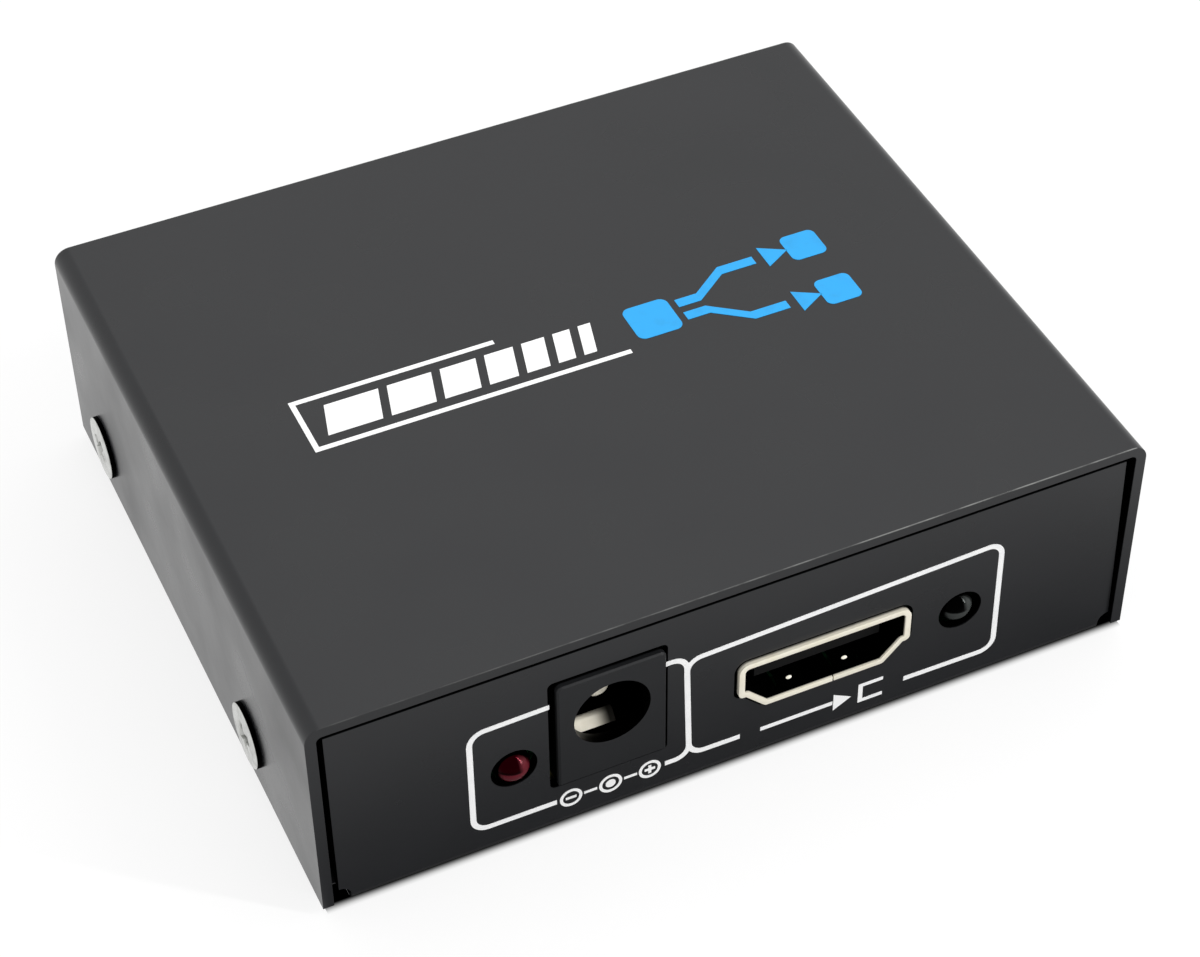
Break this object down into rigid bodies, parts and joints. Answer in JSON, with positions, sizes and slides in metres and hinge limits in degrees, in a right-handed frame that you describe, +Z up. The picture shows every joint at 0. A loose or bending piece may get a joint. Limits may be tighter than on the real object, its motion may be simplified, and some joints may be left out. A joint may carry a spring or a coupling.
{
  "type": "hdmi splitter",
  "caption": "Small folded steel box that splits a video signal: power jack, video input and lights in front, video outputs behind.",
  "frame": {"origin": "on the table under the middle of the box", "axes": "+X to the right along the front, +Y to the back, +Z up"},
  "size_m": [0.071, 0.0596, 0.0207],
  "materials": {
    "black_powder_coat": "satin black powder coat",
    "plated_screw": "bright zinc plate",
    "plain_steel": "tin-plated steel",
    "nickel_shell": "nickel plate",
    "jack_plastic": "moulded nylon",
    "insulator_plastic": "moulded liquid-crystal polymer",
    "contact_gold": "gold flash over copper alloy",
    "red_lens": "tinted clear epoxy",
    "clear_lens": "clear epoxy",
    "board_laminate": "green solder mask over glass laminate",
    "chip_plastic": "moulded epoxy",
    "tinned_lead": "tinned copper",
    "ferrite": "sintered ferrite",
    "can_aluminium": "drawn can",
    "can_base_plastic": "moulded",
    "ceramic_body": "fired ceramic with tinned ends",
    "resistor_body": "glass-coated film on alumina",
    "fuse_body": "laminated polymer"
  },
  "bodies": {
    "splitter": {"top_cover": "black_powder_coat", "base_chassis": "black_powder_coat", "cover_screws": "plated_screw", "board_standoffs": "plain_steel", "board_screws": "plated_screw", "circuit_board": "board_laminate", "jack_housing": "jack_plastic", "jack_centre_pin": "nickel_shell", "jack_sleeve_terminal": "tinned_lead", "jack_shunt_terminal": "tinned_lead", "splitter_chip": "chip_plastic", "splitter_chip_leads": "tinned_lead", "memory_chip": "chip_plastic", "memory_chip_leads": "tinned_lead", "regulators": "chip_plastic", "regulator_leads": "tinned_lead", "power_inductor": "ferrite", "capacitor_cans": "can_aluminium", "capacitor_bases": "can_base_plastic", "clock_crystal": "plain_steel", "guard_diode": "chip_plastic", "diode_tabs": "tinned_lead", "input_fuse": "fuse_body", "ceramic_capacitors": "ceramic_body", "resistors": "resistor_body", "surge_arrays": "chip_plastic", "transistors": "chip_plastic", "transistor_leads": "tinned_lead", "video_in_shell": "nickel_shell", "video_in_insulator": "insulator_plastic", "video_in_contacts": "contact_gold", "video_out_1_shell": "nickel_shell", "video_out_1_insulator": "insulator_plastic", "video_out_1_contacts": "contact_gold", "video_out_2_shell": "nickel_shell", "video_out_2_insulator": "insulator_plastic", "video_out_2_contacts": "contact_gold", "power_led_lens": "red_lens", "power_led_leads": "tinned_lead", "input_led_lens": "clear_lens", "input_led_leads": "tinned_lead", "output_led_1_lens": "clear_lens", "output_led_1_leads": "tinned_lead", "output_led_2_lens": "clear_lens", "output_led_2_leads": "tinned_lead"},
    "contact_leaf": {"jack_contact_leaf": "nickel_shell"}
  },
  "joints": [
    {"name": "leaf_flex", "type": "hinge", "parent": "splitter", "child": "contact_leaf", "pos_m": [-0.01169, -0.0215, 0.0079], "axis": [1, 0, 0], "range_deg": [0, 5.5], "stiffness_Nm_per_rad": 0.1, "springref_deg": -1.72}
  ]
}
